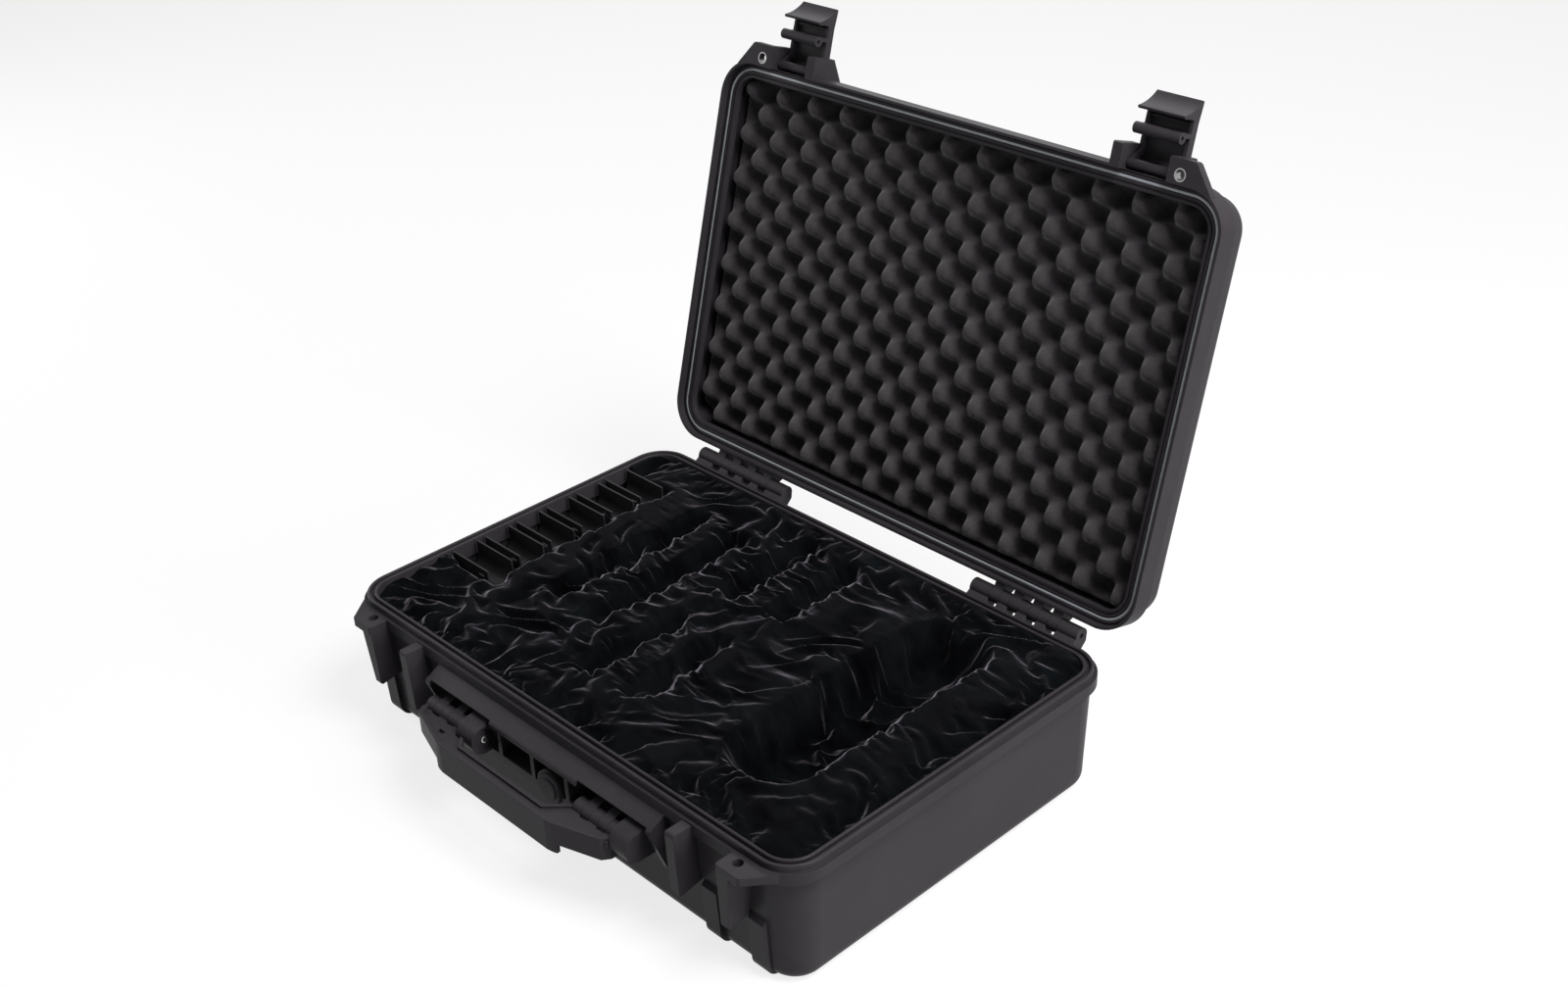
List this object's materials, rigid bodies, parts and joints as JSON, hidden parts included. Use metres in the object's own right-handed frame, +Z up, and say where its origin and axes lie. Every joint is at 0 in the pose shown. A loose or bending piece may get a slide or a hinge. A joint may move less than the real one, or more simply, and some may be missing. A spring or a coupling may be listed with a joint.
{
  "type": "microphone case",
  "caption": "Hinged plastic carrying case with over-centre latches, fold-down front handle, foam-lined lid and a velvet-lined tray with pockets and clips for microphones.",
  "frame": {"origin": "centre of the base's flat underside", "axes": "+Z up, -Y to the front with handle and latches, +Y to the hinges, +X to the right as seen from the front"},
  "size_m": [0.5804, 0.5952, 0.5535],
  "materials": {
    "case_plastic": "black moulded copolymer with a fine grain",
    "fitting_plastic": "black moulded plastic, slightly smoother",
    "clip_plastic": "thin black plastic, satin",
    "tray_foam": "dense black foam",
    "lid_foam": "dark grey open-cell foam in peaks and valleys",
    "velvet": "black short-pile velvet",
    "seal_rubber": "black rubber",
    "seal_cord": "grey round sealing cord",
    "steel": "stainless steel pins"
  },
  "bodies": {
    "base": {"base_shell": "case_plastic", "foam_tray": "tray_foam", "velvet_lining": "velvet", "clip_1": "clip_plastic", "clip_2": "clip_plastic", "clip_3": "clip_plastic", "clip_4": "clip_plastic", "clip_5": "clip_plastic", "clip_6": "clip_plastic", "valve_plug": "fitting_plastic", "valve_seal": "seal_rubber", "hinge_pin_left": "steel", "hinge_pin_right": "steel", "handle_pin_left": "steel", "handle_pin_right": "steel", "base_lug_left": "case_plastic", "base_lug_right": "case_plastic", "foam_pad": "tray_foam", "clip_shelf": "tray_foam"},
    "lid": {"lid_shell": "case_plastic", "lid_seal": "seal_cord", "lid_foam": "lid_foam", "latch_pin_left": "steel", "latch_pin_right": "steel", "lug_eyelet_left": "steel", "lug_eyelet_right": "steel"},
    "latch_left": {"latch_left": "fitting_plastic"},
    "latch_right": {"latch_right": "fitting_plastic"},
    "handle": {"handle": "fitting_plastic"}
  },
  "joints": [
    {"name": "lid_hinge", "type": "hinge", "parent": "base", "child": "lid", "pos_m": [0, 0.2045, 0.1195], "axis": [1, 0, 0], "range_deg": [0, 105.4]},
    {"name": "latch_left_pivot", "type": "hinge", "parent": "lid", "child": "latch_left", "pos_m": [-0.2055, 0.3197, 0.50007], "axis": [1, 0, 0], "range_deg": [0, 90]},
    {"name": "latch_right_pivot", "type": "hinge", "parent": "lid", "child": "latch_right", "pos_m": [0.2055, 0.3197, 0.50007], "axis": [1, 0, 0], "range_deg": [0, 90]},
    {"name": "handle_pivot", "type": "hinge", "parent": "base", "child": "handle", "pos_m": [-0.0108, -0.2085, 0.078], "axis": [1, 0, 0], "range_deg": [0, 65]}
  ]
}
